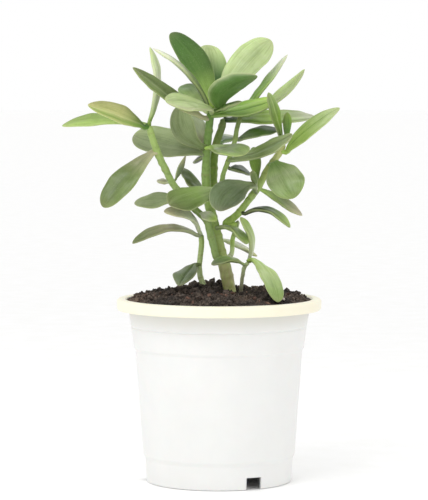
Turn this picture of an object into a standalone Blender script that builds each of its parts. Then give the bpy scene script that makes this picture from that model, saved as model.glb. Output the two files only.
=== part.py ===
# A jade plant (Crassula ovata) in a white 13 cm plastic grower pot.
# The plan is in millimetres about the pot's axis, with z up from the underside of the foot:
# x runs across the front, and y runs towards the back.

import math

import bpy
import numpy as np
from mathutils import Matrix, Vector

MM = 0.001
GAP = 0.35  # clearance between neighbouring pieces

POT_HEIGHT = 114.8
POT_RIM_RADIUS = 64.2
POT_MOUTH_RADIUS = 58.2
POT_FOOT_RADIUS = 45.6
POT_WALL = 1.6
POT_EDGE = 0.8  # how far the rim's corners are cut back
POT_LIP_HEIGHT = 7.0
POT_FOOT_TOP = (46.4, 14.6)  # radius and height of each turn in the outer wall, from the foot ring upwards
POT_STEP = (47.6, 17.0)
POT_BODY_TOP = (52.4, 82.8)
POT_COLLAR = (53.4, 84.0)
POT_BAND = (55.1, 97.5)  # a shallow groove
POT_BAND_DEPTH = 0.4
POT_NECK_RADIUS = 56.8  # under the lip
POT_FLOOR_TOP = 9.6
POT_FLOOR_THICK = 2.0
POT_FLOOR_RADIUS = 44.2
POT_SEGMENTS = 60
DRAIN_HOLES = 6
DRAIN_HOLE_RADIUS = 4.0
DRAIN_RING_RADIUS = 27.0
DRAIN_FIRST_ANGLE = 11.0
DRAIN_SIDES = 16
NOTCHES = 3
NOTCH_WIDTH = 10.3
NOTCH_HEIGHT = 7.5
NOTCH_FIRST_ANGLE = -62.0  # degrees from +x, so 28 degrees right of the front
NOTCH_REACH = 6.0  # how far a notch's cutter reaches either side of the foot's radius
CUT_OVERRUN = 2.0  # how far a cutter stands out of what it cuts

SOIL_SEGMENTS = 44
SOIL_RINGS = 10
SOIL_EDGE_HEIGHT = 113.6
SOIL_HEAP = 3.2
SOIL_LUMPS = [  # x, y, height, spread
    (-2, 16, 3.4, 6), (9, 22, 2.2, 5), (-14, 24, 2.4, 7), (-30, 6, 1.6, 6), (26, 10, 1.8, 6),
    (36, -8, 1.5, 5), (-38, -14, 1.3, 6), (16, -26, 1.2, 6), (-10, -30, 1.4, 7), (0, 40, 1.5, 7),
]
ROOT_DEPTH = 20.0  # how far a planted stem goes down into the soil

LEAF_RINGS = 8
LEAF_SIDES = 8
LEAF_THICKNESS = 2.6
LEAF_STALK = 0.28  # width at the base, as a share of the greatest
LEAF_CUP = 0.03  # how far the rims stand up, as a share of the width
STEM_SIDES = 10
STEM_STEP = 7.0  # distance between a stem's rings

# Stems: the points each passes through, with the radius there. A planted stem's first point is at the soil.
STEMS = {
    "stem_trunk": [(7, 0, 118, 3.9), (3.5, -1, 135, 3.9), (1.5, -1, 142, 3.5), (-2, 0, 157, 3.3),
                   (-6, 1, 173, 3.0), (-8, 2, 186, 2.8), (-7.5, 2, 208, 2.6), (-5, 2, 231, 2.3)],
    "stem_rear": [(-4, 8, 173, 2.3), (-3.5, 11, 186, 2.5), (-3, 13, 203, 2.5), (-1, 14, 213.5, 2.4),
                  (2, 14, 222, 2.2), (3, 14, 227, 2.0)],
    "stem_left": [(-1.5, -7.5, 141, 2.1), (-4, -8, 150, 2.3), (-6, -8.5, 158.5, 2.3), (-8, -9, 164.5, 2.2),
                  (-14, -9.5, 170, 2.1), (-21, -10, 177, 2.1), (-29, -11, 187.5, 2.1),
                  (-31.5, -12, 192.5, 2.1), (-37, -14, 203.5, 2.2), (-40.5, -15.5, 213.5, 2.1),
                  (-43.5, -16.5, 223, 2.0)],
    "stem_right": [(4.5, -1, 161.5, 2.3), (12.5, -2, 168.5, 2.3), (19, 0, 177, 2.2), (23.5, 2, 182.5, 2.2),
                   (28, 4, 190.5, 2.1), (31.5, 6, 197, 2.1), (36.5, 8.5, 203, 2.1), (40.5, 11, 211.5, 2.0)],
    "stem_strut": [(6.6, 0.5, 141, 1.4), (8.8, 0.5, 152.5, 1.4), (11, 0, 160, 1.4), (12, -0.5, 163.5, 1.3)],
    "stem_centre": [(0.5, -4, 178, 1.6), (2.5, -3, 192, 1.5), (5.5, -1, 200, 1.5), (9.5, 2, 212, 1.5),
                    (12, 5, 224, 1.4), (14, 7, 229.5, 1.3)],
    "stem_small_right": [(13.5, -8, 118, 1.3), (14.5, -9, 127, 1.2), (15.5, -10, 134, 1.2),
                         (18.5, -11, 138.5, 1.2)],
    "stem_small_left": [(-8.5, -2, 118, 1.9), (-12, -3, 130, 1.7), (-12, -3, 139, 1.6), (-11, -2, 147, 1.7),
                        (-11, -1, 155, 1.6)],
}
PLANTED = ["stem_trunk", "stem_small_right", "stem_small_left"]

# Leaves: base, tip, upper face's direction, greatest width and how far along it comes (as a share), then how
# far the middle bows towards the face and towards the leaf's own right, how many degrees the tip twists
# (turning its right rim up), and its green.
LEAVES = {
    "crown_front_left": ((-4.5, 0, 235), (-30.5, 13, 280.5), (0.35, -1, 0.35), 18, 0.52, 1.5, 4.5, 0,
                         "green"),
    "crown_back": ((-3, 9, 236), (-7.5, 34, 273.5), (0.1, -1, 0.5), 22, 0.55, 2, 0, 0, "pale"),
    "crown_right": ((0.5, 4, 236), (32.5, 19, 276.5), (-0.35, -1, 0.4), 22.5, 0.6, 2, -2.5, 0, "pale"),
    "crown_front": ((1, -3, 234.5), (23, -26, 253.5), (-0.45, 0.8, 0.45), 22, 0.5, 1, 8.5, 0, "green"),
    "crown_bud": ((-0.5, -6.5, 232.5), (14, -20, 238), (-0.3, -0.5, 0.8), 4, 0.35, 0.5, 0, 0, "green"),
    "crown_long": ((-6, -3, 233), (-40.5, -14, 270.5), (0.72, -0.22, 0.66), 8, 0.55, 5.5, 0, 0, "bright"),
    "crown_pale": ((-5.5, -7.5, 233.5), (-32.5, -33, 238), (0.1, -0.65, 0.75), 17.5, 0.58, 1.5, 0, 0, "pale"),
    "crown_bump": ((-8, 6, 232), (-23, 38, 248), (0, -0.8, 0.6), 14, 0.6, 1.5, 0, 0, "green"),
    "olive": ((-10.5, -2, 228), (-52.5, -30, 258.5), (0.4, -0.75, 0.5), 12, 0.38, -1, 0, 0, "grey"),
    "left_upright": ((-43, -11, 226), (-43, 6, 271.5), (1, -0.6, 0.1), 9, 0.7, 5.5, 0, 0, "bright"),
    "left_front": ((-46, -18, 222), (-79.5, -37, 236), (0.1, -0.75, 0.6), 13, 0.42, 3, 0, 20, "bright"),
    "left_long": ((-47, -13.5, 224), (-97, -8, 223), (0, -0.65, 0.75), 11, 0.62, 4.5, 0, 0, "bright"),
    "left_drooping": ((-41, -15, 206.5), (-71, -34, 173.5), (-0.3, -0.85, 0.5), 17.5, 0.58, 3, 0, 0, "grey"),
    "right_spike": ((15, 9, 231), (43, 22, 267), (-0.7, -0.5, 0.5), 8, 0.42, 1.5, 3, 0, "bright"),
    "right_curved": ((17, 7, 229), (53.5, 12, 257.5), (-0.4, -0.6, 0.75), 9.5, 0.55, -4, 0, 0, "pale"),
    "right_fold": ((-1, -3, 229.5), (35, 3, 239), (-0.15, -0.6, 0.8), 15, 0.55, -1, 0, 0, "bright"),
    "right_pale": ((6, 15, 226), (60.5, 26, 228), (0, -0.6, 0.8), 15, 0.5, 1, 0, 0, "pale"),
    "tip_upright": ((39, 8, 214.5), (30.5, -13, 243), (0.6, -0.8, 0.1), 9, 0.62, 1, 0, 0, "bright"),
    "tip_small": ((42.5, 15, 213.5), (43, 14, 231), (0.3, -0.95, 0), 6, 0.6, 0.5, 0, 0, "bright"),
    "tip_large": ((42, 9, 206), (75, 2, 233.5), (-0.45, -0.7, 0.5), 13, 0.46, 3, 0, 0, "bright"),
    "centre_right": ((8, -3, 201.5), (45.5, -12, 217.5), (-0.25, -0.6, 0.75), 13, 0.58, -3, 0, 0, "green"),
    "centre_front": ((-5, -3, 209.5), (15, -32, 205.5), (0.15, -0.6, 0.8), 20, 0.6, 1, 0, 0, "green"),
    "centre_rear": ((1, 16, 212), (9, 42, 215), (0, -0.5, 0.85), 13, 0.6, 1, 0, 0, "green"),
    "centre_dark": ((12.5, 5, 214), (37.5, 28, 220), (-0.3, -0.8, 0.5), 10, 0.55, 2, 0, 0, "green"),
    "round": ((34.5, 2.5, 199.5), (46.5, -20, 178.5), (-0.1, -1, 0.4), 22, 0.52, 3, 0, 0, "bright"),
    "narrow_behind": ((26, 4, 183), (52.5, 20, 166), (0.3, -0.7, 0.6), 8.5, 0.6, 1, 0, 0, "grey"),
    "arching": ((16, -4, 168), (44, -18, 160), (0.3, -0.35, 0.9), 9, 0.6, 7, 0, 0, "green"),
    "bowed": ((19, -12, 141), (13, -20, 166.5), (1, -0.5, 0.1), 8, 0.6, 4.5, 0, 0, "bright"),
    "drooping": ((20.5, -13, 140), (36, -42, 115.9), (0.5, -0.7, 0.5), 14, 0.6, 4.5, 0, 0, "pale"),
    "across_trunk": ((13.5, -11.5, 138), (-4.5, -27, 137.5), (0, -0.4, 0.9), 7.5, 0.6, 3, 0, 0, "green"),
    "low_right": ((0.5, -5, 159.5), (17, -22, 150), (0.5, -0.4, 0.75), 11, 0.6, 4, 0, 0, "green"),
    "thin_behind": ((3, 4, 151), (24, 26, 139.5), (0.4, -0.3, 0.85), 8, 0.6, 1, 0, 0, "pale"),
    "grey_oval": ((20.5, -6, 186), (0, -30, 171), (-0.15, -0.9, 0.45), 20.5, 0.5, 1, 5, 0, "grey"),
    "broad": ((0, -6.5, 183), (-30, -35, 175), (0.1, -0.65, 0.75), 20, 0.66, 1, 0, 0, "green"),
    "left_low": ((-25.5, -9.5, 178), (-52.5, 2, 174.5), (0, -0.7, 0.7), 13.5, 0.55, 0, 0, 0, "grey"),
    "bud_left": ((-32, -8, 187.5), (-38, 4, 188.5), (0, -0.6, 0.8), 5, 0.6, 0, 0, 0, "grey"),
    "bud_spike": ((-27, -7, 189.5), (-21, 4, 203.5), (0.4, -0.9, 0.2), 3.8, 0.4, 0, 0, 0, "grey"),
    "dark_wedge": ((-11.5, 4, 180), (-23, 24, 195.5), (0.5, -0.8, 0.3), 11, 0.45, 0, 0, 0, "green"),
    "pale_wedge": ((-11, -12, 168.5), (-2, -19, 164.5), (0.2, -0.8, 0.6), 8, 0.4, 0.5, 0, 0, "pale"),
    "green_upright": ((24, 5.5, 188), (22, 18, 209), (0.2, -1, 0), 7.5, 0.6, 0, 0, 0, "green"),
    "brown_upright": ((23.5, -3, 184.5), (20.5, -9, 195), (0.3, -0.95, 0), 4.5, 0.6, 0, 0, 0, "grey"),
    "small_dark": ((7, 2, 196), (19.5, 22, 192.5), (0, -0.8, 0.6), 9, 0.6, 1, 0, 0, "grey"),
    "stub": ((-9, 6, 204), (-15.5, 24, 199.5), (-0.2, -0.7, 0.7), 6.5, 0.6, 0, 0, 0, "grey"),
    "large_grey": ((-11, 4, 206.5), (-54, 26, 216.5), (0, -0.75, 0.65), 24, 0.62, 0, 0, 0, "grey"),
    "crease": ((-10.5, -1, 209.5), (-24, 8, 235), (-0.25, -0.9, 0.35), 15, 0.55, 0, -5, 0, "grey"),
    "crease_rear": ((-9.5, 5, 212), (-20, 27, 230), (0.2, -0.9, 0.3), 14, 0.6, 0, 0, 0, "grey"),
    "left_arching": ((-13.5, -3, 154.5), (-53.5, -22, 150.5), (0.1, -0.45, 0.9), 9.5, 0.6, 8, 0, 0, "grey"),
    "heart": ((-15, -5.5, 136), (-24.5, -26, 124.5), (-0.35, -0.85, 0.4), 11.5, 0.38, 1, 0, 0, "grey"),
    "under_broad": ((-12.5, -4.5, 157.5), (-34, -21, 170), (0.4, -0.5, 0.75), 10, 0.6, 6, 0, 0, "grey"),
}

POT_FINISH = ("white_polypropylene", (0.90, 0.90, 0.88), 0.45)
SOIL_FINISH = ("potting_soil", (0.045, 0.035, 0.028), 0.95)
STEM_FINISH = ("green_stem", (0.30, 0.42, 0.10), 0.50)
LEAF_GREENS = {
    "pale": (0.38, 0.52, 0.26), "bright": (0.26, 0.46, 0.10),
    "green": (0.16, 0.30, 0.08), "grey": (0.20, 0.28, 0.15),
}
LEAF_ROUGHNESS = 0.42


def unit(vector):
    return vector / np.linalg.norm(vector)


def make_material(name, colour, roughness):
    material = bpy.data.materials.new(name)
    material.use_nodes = True
    shader = material.node_tree.nodes["Principled BSDF"]
    shader.inputs["Base Color"].default_value = (*colour, 1.0)
    shader.inputs["Roughness"].default_value = roughness
    shader.inputs["Metallic"].default_value = 0.0
    return material


def make_object(name, points, faces, material, parent):
    """A mesh object from points in millimetres and faces of point numbers."""
    mesh = bpy.data.meshes.new(name)
    mesh.from_pydata([tuple(point) for point in np.asarray(points) * MM], [], faces)
    mesh.materials.append(material)
    mesh.shade_smooth()
    mesh.set_sharp_from_angle(angle=math.radians(40))
    piece = bpy.data.objects.new(name, mesh)
    bpy.context.scene.collection.objects.link(piece)
    piece.parent = parent
    return piece


def skin_faces(rings, sides):
    """Quads between rings of points, then fans onto the first and last extra points."""
    faces = []
    for i in range(rings - 1):
        for j in range(sides):
            k = (j + 1) % sides
            faces.append((i * sides + j, i * sides + k, (i + 1) * sides + k, (i + 1) * sides + j))
    first = rings * sides
    last = (rings - 1) * sides
    for j in range(sides):
        k = (j + 1) % sides
        faces.append((first, k, j))
        faces.append((first + 1, last + j, last + k))
    return faces


def smooth_route(stops, count):
    """A smooth curve through the stops (Catmull-Rom), read at evenly spaced steps."""
    stops = np.array(stops, float)
    padded = np.vstack([2 * stops[0] - stops[1], stops, 2 * stops[-1] - stops[-2]])
    route = []
    for step in np.linspace(0, len(stops) - 1, count):
        i = min(int(step), len(stops) - 2)
        t = step - i
        a, b, c, d = padded[i:i + 4]
        route.append(0.5 * (2 * b + (c - a) * t + (2 * a - 5 * b + 4 * c - d) * t * t
                            + (3 * b - a - 3 * c + d) * t ** 3))
    return np.array(route)


def leaf_half_width(along, widest):
    """Half width as a share of the greatest: a stalk that swells to the widest place, then a round tip."""
    swell = np.sin(0.5 * np.pi * np.clip(along / widest, 0, 1)) ** 1.5
    past = np.clip((along - widest) / (1 - widest), 0, 1)
    return np.where(along < widest, LEAF_STALK + (1 - LEAF_STALK) * swell, np.sqrt(1 - past ** 2.2))


def make_leaf(name, plan, material, parent):
    """A fleshy leaf: its own x runs from base to tip, and its own z is the upper face."""
    base, tip, facing, width, widest, bow, sideways, twist = plan
    base, tip = np.array(base, float), np.array(tip, float)
    length = np.linalg.norm(tip - base)
    even = np.linspace(0, 1, LEAF_RINGS)
    along = 0.6 * (0.5 - 0.5 * np.cos(np.pi * even)) + 0.4 * even  # closer rings towards both ends
    hump = 4 * along * (1 - along)
    slope = 4 * (1 - 2 * along)
    middle = np.stack([length * along, -sideways * hump, bow * hump], 1)
    ahead = np.stack([np.full(LEAF_RINGS, length), -sideways * slope, bow * slope], 1)
    ahead /= np.linalg.norm(ahead, axis=1)[:, None]
    up = np.array([0.0, 0.0, 1.0]) - ahead[:, 2:3] * ahead
    up /= np.linalg.norm(up, axis=1)[:, None]
    across = np.cross(ahead, up)
    turn = np.radians(twist) * along[:, None]
    across, up = across * np.cos(turn) + up * np.sin(turn), up * np.cos(turn) - across * np.sin(turn)
    half = 0.5 * width * leaf_half_width(along, widest)
    depth = np.minimum(0.5 * LEAF_THICKNESS, 0.9 * half + 0.05)
    angles = np.linspace(0, 2 * np.pi, LEAF_SIDES, endpoint=False)
    outward = half[:, None] * np.cos(angles)
    cupping = LEAF_CUP * width * (half / half.max())[:, None] * np.cos(2 * angles)
    upward = cupping - depth[:, None] * np.sin(angles)
    rings = middle[:, None] + across[:, None] * outward[..., None] + up[:, None] * upward[..., None]
    points = np.vstack([rings.reshape(-1, 3), middle[:1], middle[-1:]])
    leaf = make_object(name, points, skin_faces(LEAF_RINGS, LEAF_SIDES), material, parent)
    x_axis = Vector(unit(tip - base))
    z_axis = Vector(facing) - Vector(facing).dot(x_axis) * x_axis
    z_axis.normalize()
    turned = Matrix((x_axis, z_axis.cross(x_axis), z_axis)).transposed()
    leaf.matrix_basis = Matrix.Translation(Vector(base * MM)) @ turned.to_4x4()
    return leaf


def make_stem(name, stops, planted, material, parent):
    """A tapering round stem along its stops; a planted one also runs straight down into the soil."""
    stops = [np.array(stop, float) for stop in stops]
    if planted:
        foot = stops[0] - np.array([0, 0, ROOT_DEPTH, 0])
        stops = [foot, 0.5 * (foot + stops[0])] + stops
    lengths = [np.linalg.norm(b[:3] - a[:3]) for a, b in zip(stops, stops[1:])]
    count = max(4, round(sum(lengths) / STEM_STEP) + 1)
    route = smooth_route(stops, count)
    centre, radius = route[:, :3], route[:, 3]
    ahead = np.gradient(centre, axis=0)
    ahead /= np.linalg.norm(ahead, axis=1)[:, None]
    side = np.cross(ahead, [0.0, 1.0, 0.0])
    side /= np.linalg.norm(side, axis=1)[:, None]
    over = np.cross(side, ahead)
    angles = np.linspace(0, 2 * np.pi, STEM_SIDES, endpoint=False)
    rings = centre[:, None] + radius[:, None, None] * (
        side[:, None] * np.cos(angles)[None, :, None] - over[:, None] * np.sin(angles)[None, :, None])
    points = np.vstack([rings.reshape(-1, 3), centre[:1], centre[-1:]])
    return make_object(name, points, skin_faces(count, STEM_SIDES), material, parent)


def turned_solid(name, profile, segments, material, parent):
    """A solid of revolution: the profile runs from the axis underneath to the axis on top."""
    angles = np.linspace(0, 2 * np.pi, segments, endpoint=False)
    rings = [[(r * math.cos(a), r * math.sin(a), z) for a in angles] for r, z in profile[1:-1]]
    ends = [(0, 0, profile[0][1]), (0, 0, profile[-1][1])]
    points = np.vstack([np.array(rings).reshape(-1, 3), ends])
    return make_object(name, points, skin_faces(len(rings), segments), material, parent)


def cut_away(piece, name, profile_points, faces):
    """Cuts a hidden solid out of the piece."""
    cutter = make_object(name, profile_points, faces, piece.data.materials[0], piece.parent)
    cutter.hide_render = True
    cutter.display_type = "WIRE"
    cut = piece.modifiers.new(name, "BOOLEAN")
    cut.operation = "DIFFERENCE"
    cut.solver = "EXACT"
    cut.object = cutter


def rod(x, y, low, high, radius, sides):
    """Points and faces of an upright round bar."""
    angles = np.linspace(0, 2 * np.pi, sides, endpoint=False)
    ring = np.stack([x + radius * np.cos(angles), y + radius * np.sin(angles)], 1)
    bottom = np.column_stack([ring, np.full(sides, low)])
    top = np.column_stack([ring, np.full(sides, high)])
    points = np.vstack([bottom, top, [(x, y, low), (x, y, high)]])
    return points, skin_faces(2, sides)


def joined(solids):
    """One set of points and faces from several separate solids."""
    points, faces, start = [], [], 0
    for more_points, more_faces in solids:
        points.append(more_points)
        faces += [tuple(start + corner for corner in face) for face in more_faces]
        start += len(more_points)
    return np.vstack(points), faces


def inner_wall():
    """Radius and height of the turns in the pot's inner wall, from the floor up to the neck."""
    floor = (POT_FLOOR_RADIUS, POT_FLOOR_TOP)
    neck = (POT_NECK_RADIUS - POT_WALL, POT_HEIGHT - POT_LIP_HEIGHT - POT_WALL)
    turns = [(radius - POT_WALL, height) for radius, height in (POT_FOOT_TOP, POT_STEP, POT_BODY_TOP)]
    return [floor, *turns, neck]


def make_pot(material, parent):
    foot, height = POT_FOOT_RADIUS, POT_HEIGHT
    lip_base = height - POT_LIP_HEIGHT
    underside = POT_FLOOR_TOP - POT_FLOOR_THICK
    band_radius, band_height = POT_BAND
    profile = [
        (0, underside), (foot - POT_WALL, underside), (foot - POT_WALL, 0), (foot, 0),
        POT_FOOT_TOP, POT_STEP, POT_BODY_TOP, POT_COLLAR,
        (band_radius, band_height - 2 * POT_BAND_DEPTH), (band_radius - POT_BAND_DEPTH, band_height),
        (band_radius + POT_BAND_DEPTH, band_height + 2 * POT_BAND_DEPTH), (POT_NECK_RADIUS, lip_base),
        (POT_RIM_RADIUS - POT_EDGE, lip_base), (POT_RIM_RADIUS, lip_base + POT_EDGE),
        (POT_RIM_RADIUS, height - POT_EDGE), (POT_RIM_RADIUS - POT_EDGE, height),
        (POT_MOUTH_RADIUS + POT_EDGE, height), (POT_MOUTH_RADIUS, height - POT_EDGE),
        *reversed(inner_wall()), (0, POT_FLOOR_TOP),
    ]
    pot = turned_solid("pot", profile, POT_SEGMENTS, material, parent)
    holes = []
    for i in range(DRAIN_HOLES):
        angle = math.radians(DRAIN_FIRST_ANGLE + 360 * i / DRAIN_HOLES)
        x, y = DRAIN_RING_RADIUS * math.cos(angle), DRAIN_RING_RADIUS * math.sin(angle)
        low, high = underside - CUT_OVERRUN, POT_FLOOR_TOP + CUT_OVERRUN
        holes.append(rod(x, y, low, high, DRAIN_HOLE_RADIUS, DRAIN_SIDES))
    cut_away(pot, "cut_drain_holes", *joined(holes))
    notches = []
    for i in range(NOTCHES):
        angle = math.radians(NOTCH_FIRST_ANGLE + 360 * i / NOTCHES)
        out = np.array([math.cos(angle), math.sin(angle), 0])
        along = np.array([-math.sin(angle), math.cos(angle), 0])
        half_way = 0.5 * NOTCH_WIDTH * along
        inner, outer = (foot - NOTCH_REACH) * out, (foot + NOTCH_REACH) * out
        ring = [inner - half_way, outer - half_way, outer + half_way, inner + half_way]
        levels = [np.array([0, 0, z]) for z in (-CUT_OVERRUN, NOTCH_HEIGHT)]
        corners = [corner + level for level in levels for corner in ring]
        ends = [foot * out + level for level in levels]
        notches.append((np.vstack([corners, ends]), skin_faces(2, 4)))
    cut_away(pot, "cut_notches", *joined(notches))
    return pot


def soil_height(x, y):
    """The top of the soil: level at the rim, heaped towards the middle, with clods."""
    reach = np.clip(1 - np.hypot(x, y) / POT_MOUTH_RADIUS, 0, 1)
    height = SOIL_EDGE_HEIGHT + SOIL_HEAP * np.sin(0.5 * np.pi * np.clip(1.6 * reach, 0, 1))
    for lump_x, lump_y, rise, spread in SOIL_LUMPS:
        height = height + rise * np.exp(-((x - lump_x) ** 2 + (y - lump_y) ** 2) / spread ** 2)
    return height


def make_soil(material, parent):
    gap = GAP / math.cos(math.pi / POT_SEGMENTS)  # kept at the middles of the pot's flat sides as well
    (floor_radius, floor_height), *wall = inner_wall()
    edge = [(floor_radius - 2 * gap, floor_height + gap)]
    edge += [(radius - gap, height) for radius, height in wall]
    edge.append((POT_MOUTH_RADIUS - 2 * gap, SOIL_EDGE_HEIGHT - gap))
    angles = np.linspace(0, 2 * np.pi, SOIL_SEGMENTS, endpoint=False)
    circle = np.stack([np.cos(angles), np.sin(angles)], 1)
    rings = [np.column_stack([radius * circle, np.full(SOIL_SEGMENTS, height)]) for radius, height in edge]
    for share in np.linspace(0.965, 0.1, SOIL_RINGS):  # of the edge's radius
        x, y = share * edge[-1][0] * circle.T
        rings.append(np.column_stack([x, y, soil_height(x, y)]))
    ends = [(0, 0, edge[0][1]), (0, 0, soil_height(0, 0))]
    points = np.vstack([np.vstack(rings), ends])
    soil = make_object("soil", points, skin_faces(len(rings), SOIL_SEGMENTS), material, parent)
    pockets = []
    for name in PLANTED:
        x, y, z, radius = STEMS[name][0]
        pockets.append(rod(x, y, z - ROOT_DEPTH - GAP, z + ROOT_DEPTH, radius + 2 * GAP, 2 * STEM_SIDES))
    cut_away(soil, "cut_root_pockets", *joined(pockets))
    return soil


def centre_on_origin(frame):
    """Moves the whole plant so that the middle of its outline stands over the origin, foot on z = 0."""
    bpy.context.view_layer.update()
    corners = []
    for piece in bpy.context.scene.objects:
        if piece.type == "MESH" and not piece.hide_render:
            points = np.empty(len(piece.data.vertices) * 3, np.float32)
            piece.data.vertices.foreach_get("co", points)
            world = np.array(piece.matrix_world)
            corners.append(points.reshape(-1, 3) @ world[:3, :3].T + world[:3, 3])
    corners = np.vstack(corners)
    middle = 0.5 * (corners.min(0) + corners.max(0))
    frame.location = (-middle[0], -middle[1], 0)


def main():
    for old in list(bpy.data.objects):
        bpy.data.objects.remove(old, do_unlink=True)
    frame = bpy.data.objects.new("pot_axis", None)
    bpy.context.scene.collection.objects.link(frame)
    make_pot(make_material(*POT_FINISH), frame)
    make_soil(make_material(*SOIL_FINISH), frame)
    bark = make_material(*STEM_FINISH)
    for name, stops in STEMS.items():
        make_stem(name, stops, name in PLANTED, bark, frame)
    greens = {green: make_material(green + "_leaf", colour, LEAF_ROUGHNESS)
              for green, colour in LEAF_GREENS.items()}
    for name, (*plan, green) in LEAVES.items():
        make_leaf("leaf_" + name, plan, greens[green], frame)
    centre_on_origin(frame)


main()
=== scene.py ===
import math

import bpy
import numpy as np
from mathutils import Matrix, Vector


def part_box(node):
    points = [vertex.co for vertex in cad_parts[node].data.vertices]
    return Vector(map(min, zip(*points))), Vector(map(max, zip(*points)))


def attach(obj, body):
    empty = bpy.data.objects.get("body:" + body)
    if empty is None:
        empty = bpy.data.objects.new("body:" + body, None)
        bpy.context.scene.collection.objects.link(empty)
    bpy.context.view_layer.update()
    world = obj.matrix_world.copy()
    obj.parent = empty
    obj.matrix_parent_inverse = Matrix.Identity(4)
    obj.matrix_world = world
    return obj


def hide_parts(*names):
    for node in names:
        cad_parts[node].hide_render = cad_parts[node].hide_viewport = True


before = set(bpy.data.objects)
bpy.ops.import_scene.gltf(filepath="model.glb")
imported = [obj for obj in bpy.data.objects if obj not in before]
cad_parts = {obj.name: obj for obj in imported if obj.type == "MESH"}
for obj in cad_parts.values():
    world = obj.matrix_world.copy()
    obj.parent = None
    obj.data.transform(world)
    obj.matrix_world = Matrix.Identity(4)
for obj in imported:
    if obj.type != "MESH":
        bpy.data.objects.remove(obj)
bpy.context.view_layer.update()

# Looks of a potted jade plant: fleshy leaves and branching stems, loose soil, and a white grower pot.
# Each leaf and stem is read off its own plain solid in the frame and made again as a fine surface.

mm = 0.001
potLow, potHigh = (np.array(corner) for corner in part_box("pot"))
potMiddle = np.array([*(0.5 * (potLow + potHigh))[:2], 0.0])  # where the pot's axis meets the floor
leafNames = [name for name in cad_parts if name.startswith("leaf_")]
stemNames = [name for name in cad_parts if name.startswith("stem_")]


# ---- small tools

def linear(hexColour):  # an sRGB hex colour as the linear RGBA that the shaders take
    srgb = np.array([int(hexColour[i:i + 2], 16) / 255 for i in (1, 3, 5)])
    flat = np.where(srgb <= 0.04045, srgb / 12.92, ((srgb + 0.055) / 1.055) ** 2.4)
    return (*(float(channel) for channel in flat), 1.0)


def addNode(tree, kind, inputs=None, **settings):  # a node with its settings, and its sockets set or linked
    made = tree.nodes.new(kind)
    for key, value in settings.items():
        setattr(made, key, value)
    for key, value in (inputs or {}).items():
        if isinstance(value, bpy.types.NodeSocket):
            tree.links.new(value, made.inputs[key])
        else:
            made.inputs[key].default_value = value
    return made


def rampOf(tree, factor, stops):  # a colour ramp through (place, hex colour) stops
    ramp = addNode(tree, "ShaderNodeValToRGB", {"Fac": factor})
    while len(ramp.color_ramp.elements) < len(stops):
        ramp.color_ramp.elements.new(0.5)
    for element, (place, hexColour) in zip(ramp.color_ramp.elements, stops):
        element.position = place
        element.color = linear(hexColour)
    return ramp.outputs["Color"]


def newMaterial(name, **fixed):  # a Principled material with its constants set on the shader's own sockets
    material = bpy.data.materials.new(name)
    material.use_nodes = True
    tree = material.node_tree
    shader = tree.nodes["Principled BSDF"]
    for key, value in fixed.items():
        shader.inputs[key.replace("_", " ")].default_value = value
    return material, tree, shader


def makePiece(name, points, faces, material, smooth=True, uv=None, values=None, colours=None):
    # a mesh object from points in metres and quads or triangles; uv, values and colours are per point
    mesh = bpy.data.meshes.new(name)
    mesh.from_pydata(points.tolist(), [], faces)
    mesh.materials.append(material)
    mesh.polygons.foreach_set("use_smooth", np.full(len(mesh.polygons), smooth))
    corners = np.empty(len(mesh.loops), np.int32)
    mesh.loops.foreach_get("vertex_index", corners)
    if uv is not None:
        mesh.uv_layers.new(name="surface").data.foreach_set("uv", uv[corners].astype(np.float32).ravel())
    for key, value in (values or {}).items():
        mesh.attributes.new(key, "FLOAT", "POINT").data.foreach_set("value", value.astype(np.float32))
    for key, value in (colours or {}).items():
        layer = mesh.attributes.new(key, "FLOAT_COLOR", "POINT")
        layer.data.foreach_set("color", value.astype(np.float32).ravel())
    mesh.update()
    piece = bpy.data.objects.new(name, mesh)
    bpy.context.scene.collection.objects.link(piece)
    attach(piece, "root")
    return piece


def gridFaces(rows, columns, start=0):  # quads of a grid whose columns close into rings
    row, column = np.meshgrid(np.arange(rows - 1), np.arange(columns), indexing="ij")
    following = (column + 1) % columns
    quads = np.stack([row * columns + column, row * columns + following,
                      (row + 1) * columns + following, (row + 1) * columns + column], -1)
    return (start + quads.reshape(-1, 4)).tolist()


def poleFaces(ring, columns, pole, outward):  # triangles from one ring of a grid to a pole point
    first = ring * columns + np.arange(columns)
    second = ring * columns + (np.arange(columns) + 1) % columns
    order = (first, second) if outward else (second, first)
    return np.stack([*order, np.full(columns, pole)], 1).tolist()


def smoothThrough(knots, values, places):  # cubic Hermite curve; each slope comes from its neighbours
    slopes = np.gradient(values, knots, axis=0)
    i = np.clip(np.searchsorted(knots, places, side="right") - 1, 0, len(knots) - 2)
    gap = knots[i + 1] - knots[i]
    t = (places - knots[i]) / gap
    if values.ndim > 1:
        t, gap = t[:, None], gap[:, None]
    return ((2 * t ** 3 - 3 * t ** 2 + 1) * values[i] + (t ** 3 - 2 * t ** 2 + t) * gap * slopes[i]
            + (3 * t ** 2 - 2 * t ** 3) * values[i + 1] + (t ** 3 - t ** 2) * gap * slopes[i + 1])


def softNoise(points, size, seed, waves=24):
    # smooth noise about 0: a sum of cos(way . point + start) over plane waves about one size long
    random = np.random.default_rng(seed)
    ways = random.normal(size=(waves, points.shape[-1]))
    ways *= (2 * np.pi / size) * random.uniform(0.6, 1.6, (waves, 1)) / np.linalg.norm(ways, axis=1)[:, None]
    starts = random.uniform(0, 2 * np.pi, waves)
    return np.cos(points @ ways.T + starts).sum(-1) * math.sqrt(2 / waves)


def blended(hexColours, share):  # colours read off an even run of hex colours, at shares from 0 to 1
    stops = np.array([linear(hexColour) for hexColour in hexColours])
    places = np.linspace(0, 1, len(stops))
    return np.stack([np.interp(share, places, channel) for channel in stops.T], -1)


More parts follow.
